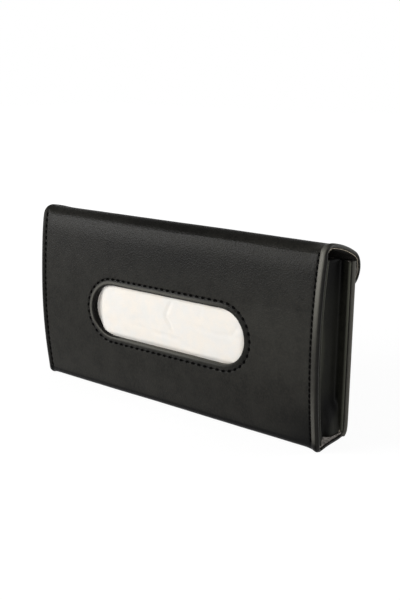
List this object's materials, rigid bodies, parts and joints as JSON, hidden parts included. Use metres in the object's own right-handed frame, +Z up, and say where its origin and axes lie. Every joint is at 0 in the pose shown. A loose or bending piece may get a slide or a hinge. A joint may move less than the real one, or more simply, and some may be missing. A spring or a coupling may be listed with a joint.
{
  "type": "car tissue holder",
  "caption": "Soft leather tissue case with an oval dispensing window, folded-in ends and a flap that hinges over its top mouth; elastic bands on the back hold it on a visor.",
  "frame": {"origin": "centre of the bounding box's underside: the middle of the object, on the surface that it stands on", "axes": "+X along the case, the window faces -Y, the bands face +Y, +Z up"},
  "size_m": [0.23, 0.0474, 0.1235],
  "materials": {
    "black_leather": "fine-grained black imitation leather, satin",
    "gusset_leather": "thin black imitation leather, softer and duller",
    "stiffening_board": "grey board, matt",
    "lining": "brown-grey fleecy backing, matt",
    "tissue": "soft white tissue, matt",
    "magnet_strip": "flexible magnetic strip, matt",
    "elastic": "ribbed black elastic webbing",
    "thread": "black polyester sewing thread"
  },
  "bodies": {
    "case": {"outer_cover": "black_leather", "window_welt": "black_leather", "left_gusset": "gusset_leather", "right_gusset": "gusset_leather", "front_board": "stiffening_board", "bottom_board": "stiffening_board", "back_board": "stiffening_board", "inner_lining": "lining", "tissue_stack": "tissue", "front_tissue": "tissue", "left_back_magnet": "magnet_strip", "right_back_magnet": "magnet_strip", "left_elastic_band": "elastic", "right_elastic_band": "elastic", "left_band_foot_thread": "thread", "left_band_top_thread": "thread", "right_band_foot_thread": "thread", "right_band_top_thread": "thread", "left_front_seam": "thread", "right_front_seam": "thread", "left_back_seam": "thread", "right_back_seam": "thread", "window_seam": "thread"},
    "flap": {"flap_cover": "black_leather", "flap_stiffener": "stiffening_board", "flap_lining": "lining", "left_flap_magnet": "magnet_strip", "right_flap_magnet": "magnet_strip", "flap_seam": "thread"}
  },
  "joints": [
    {"name": "flap_fold", "type": "hinge", "parent": "case", "child": "flap", "pos_m": [0, -0.01785, 0.1168], "axis": [1, 0, 0], "range_deg": [0, 150]}
  ]
}
